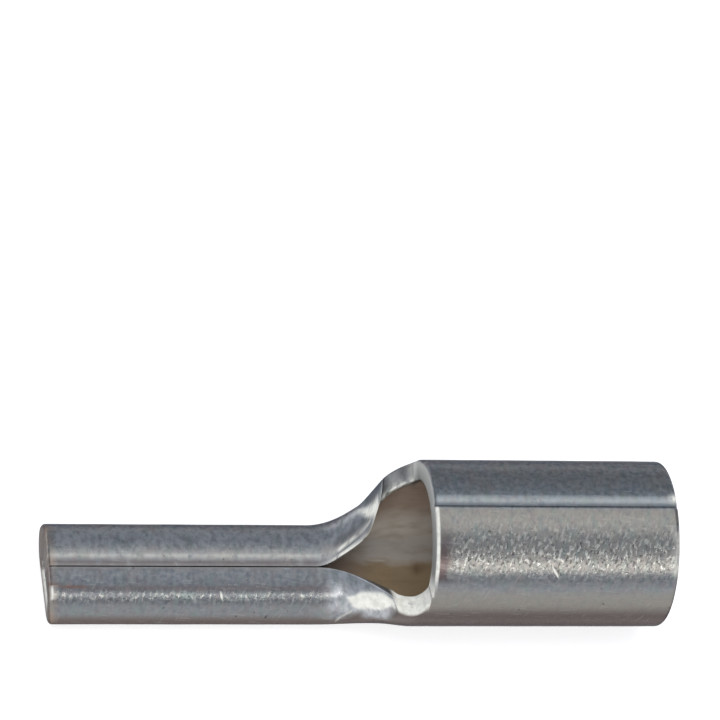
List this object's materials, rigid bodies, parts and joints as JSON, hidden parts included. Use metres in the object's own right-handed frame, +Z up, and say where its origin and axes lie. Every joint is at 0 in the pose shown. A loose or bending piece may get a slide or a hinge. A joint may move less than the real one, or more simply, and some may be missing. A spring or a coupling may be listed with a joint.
{
  "type": "pin cable lug",
  "caption": "Tinned copper pin cable lug rolled from one sheet: a round barrel for the conductor, an open neck and a hollow pin with a flat back.",
  "frame": {"origin": "centre of the bore in the plane of the barrel's mouth", "axes": "+X along the bore and out of the mouth, the pin points to -X; +Z up through the side with the seams, away from the pin's flat back; the lug lies on its back"},
  "size_m": [0.029, 0.0078, 0.0078],
  "materials": {
    "tinned_copper": "dull tin plating over copper sheet, finely scratched"
  },
  "bodies": {
    "root": {"lug": "tinned_copper"}
  },
  "joints": []
}
